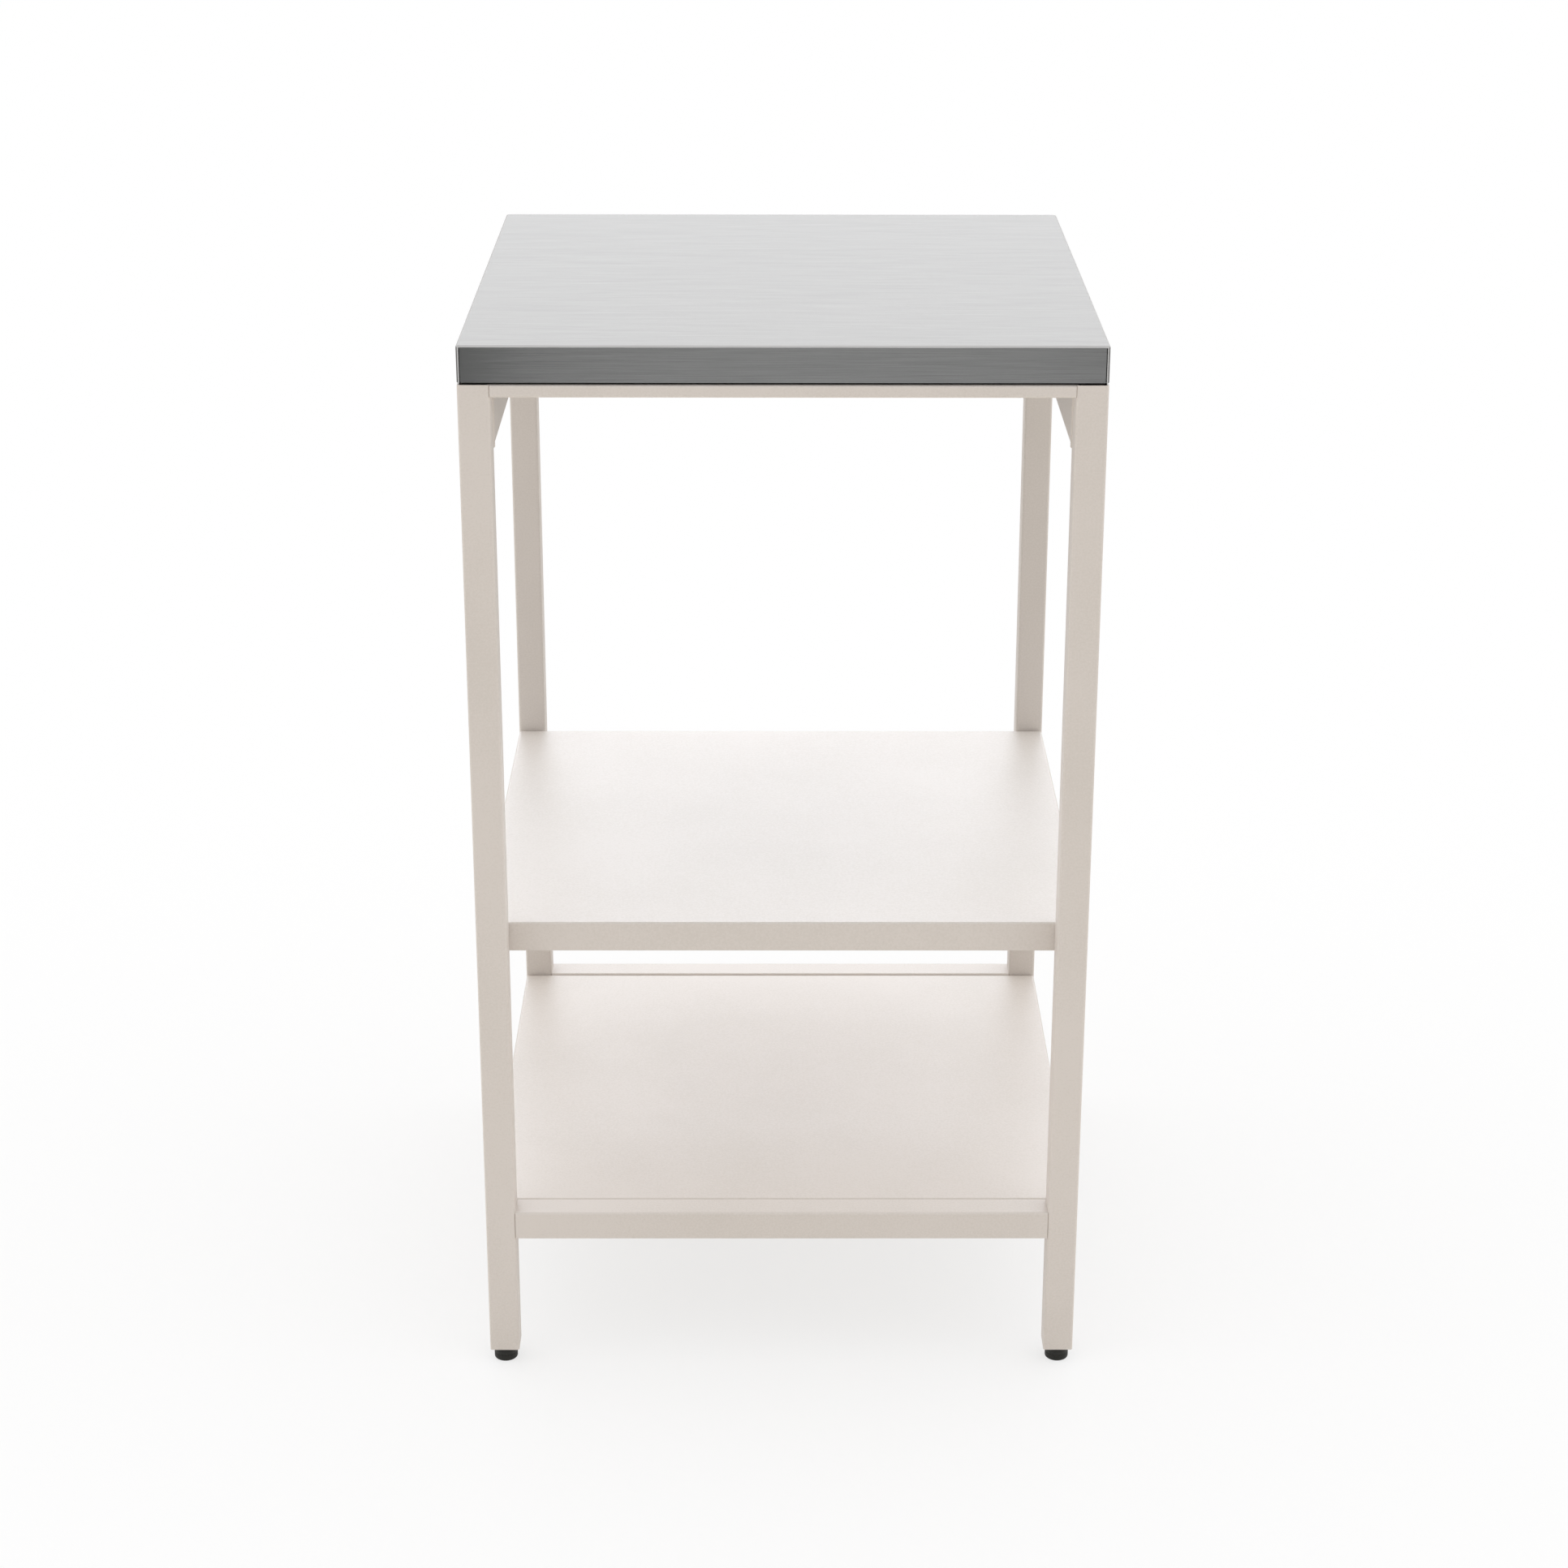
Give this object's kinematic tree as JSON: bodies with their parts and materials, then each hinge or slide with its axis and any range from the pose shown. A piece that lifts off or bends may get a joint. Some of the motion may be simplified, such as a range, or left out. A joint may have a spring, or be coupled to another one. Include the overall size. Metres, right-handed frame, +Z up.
{
  "type": "outdoor kitchen module",
  "caption": "Open outdoor kitchen module: stainless worktop on a powder-coated square-tube frame with tray shelves and levelling feet.",
  "frame": {"origin": "on the floor under the middle of the module, feet screwed right in", "axes": "+Z up, front faces -Y, +X to the right seen from the front"},
  "size_m": [0.5, 0.5, 0.895],
  "materials": {
    "stainless": "brushed",
    "powder_coat": "fine-grained matt powder coat",
    "seal": "matt",
    "zinc_steel": "zinc plated",
    "plug_plastic": "moulded",
    "foot_plastic": "moulded",
    "insert_nylon": "moulded"
  },
  "bodies": {
    "module_frame": {"worktop": "stainless", "worktop_stiffener_left": "stainless", "worktop_stiffener_right": "stainless", "leg_front_left": "powder_coat", "leg_front_right": "powder_coat", "leg_rear_left": "powder_coat", "leg_rear_right": "powder_coat", "side_rail_left": "powder_coat", "side_rail_right": "powder_coat", "front_top_rail": "powder_coat", "rear_top_rail": "powder_coat", "lower_front_rail": "powder_coat", "lower_rear_rail": "powder_coat", "middle_shelf": "powder_coat", "lower_shelf": "powder_coat", "middle_shelf_stiffener": "powder_coat", "lower_shelf_stiffener": "powder_coat", "worktop_seal_strips": "seal", "worktop_weld_nuts": "zinc_steel", "worktop_screws": "zinc_steel", "top_rail_screws": "zinc_steel", "lower_rail_screws": "zinc_steel", "middle_shelf_rivet_nuts": "zinc_steel", "middle_shelf_washers": "zinc_steel", "middle_shelf_screws": "zinc_steel", "lower_shelf_rivet_nuts": "zinc_steel", "lower_shelf_washers": "zinc_steel", "lower_shelf_screws": "zinc_steel", "top_rail_end_blocks": "zinc_steel", "lower_rail_end_blocks": "zinc_steel", "frame_hole_plugs": "plug_plastic", "foot_insert_front_left": "insert_nylon", "foot_insert_front_right": "insert_nylon", "foot_insert_rear_left": "insert_nylon", "foot_insert_rear_right": "insert_nylon"},
    "foot_front_left_glide": {"foot_sole_front_left": "foot_plastic"},
    "foot_front_left_screw": {"foot_stud_front_left": "zinc_steel", "foot_knob_front_left": "foot_plastic"},
    "foot_front_right_glide": {"foot_sole_front_right": "foot_plastic"},
    "foot_front_right_screw": {"foot_stud_front_right": "zinc_steel", "foot_knob_front_right": "foot_plastic"},
    "foot_rear_left_glide": {"foot_sole_rear_left": "foot_plastic"},
    "foot_rear_left_screw": {"foot_stud_rear_left": "zinc_steel", "foot_knob_rear_left": "foot_plastic"},
    "foot_rear_right_glide": {"foot_sole_rear_right": "foot_plastic"},
    "foot_rear_right_screw": {"foot_stud_rear_right": "zinc_steel", "foot_knob_rear_right": "foot_plastic"}
  },
  "joints": [
    {"name": "foot_front_left_climb", "type": "slide", "parent": "module_frame", "child": "foot_front_left_glide", "axis": [0, 0, -1], "range_m": [0, 0.01]},
    {"name": "foot_front_left_turn", "type": "hinge", "parent": "foot_front_left_glide", "child": "foot_front_left_screw", "pos_m": [-0.2375, -0.2375, 0.006], "axis": [0, 0, -1], "range_deg": [0, 2880]},
    {"name": "foot_front_right_climb", "type": "slide", "parent": "module_frame", "child": "foot_front_right_glide", "axis": [0, 0, -1], "range_m": [0, 0.01]},
    {"name": "foot_front_right_turn", "type": "hinge", "parent": "foot_front_right_glide", "child": "foot_front_right_screw", "pos_m": [0.2375, -0.2375, 0.006], "axis": [0, 0, -1], "range_deg": [0, 2880]},
    {"name": "foot_rear_left_climb", "type": "slide", "parent": "module_frame", "child": "foot_rear_left_glide", "axis": [0, 0, -1], "range_m": [0, 0.01]},
    {"name": "foot_rear_left_turn", "type": "hinge", "parent": "foot_rear_left_glide", "child": "foot_rear_left_screw", "pos_m": [-0.2375, 0.2375, 0.006], "axis": [0, 0, -1], "range_deg": [0, 2880]},
    {"name": "foot_rear_right_climb", "type": "slide", "parent": "module_frame", "child": "foot_rear_right_glide", "axis": [0, 0, -1], "range_m": [0, 0.01]},
    {"name": "foot_rear_right_turn", "type": "hinge", "parent": "foot_rear_right_glide", "child": "foot_rear_right_screw", "pos_m": [0.2375, 0.2375, 0.006], "axis": [0, 0, -1], "range_deg": [0, 2880]}
  ],
  "couplings": [
    {"joint": "foot_front_left_climb", "follows": "foot_front_left_turn", "m_per_rad": 0.00019894},
    {"joint": "foot_front_right_climb", "follows": "foot_front_right_turn", "m_per_rad": 0.00019894},
    {"joint": "foot_rear_left_climb", "follows": "foot_rear_left_turn", "m_per_rad": 0.00019894},
    {"joint": "foot_rear_right_climb", "follows": "foot_rear_right_turn", "m_per_rad": 0.00019894}
  ]
}
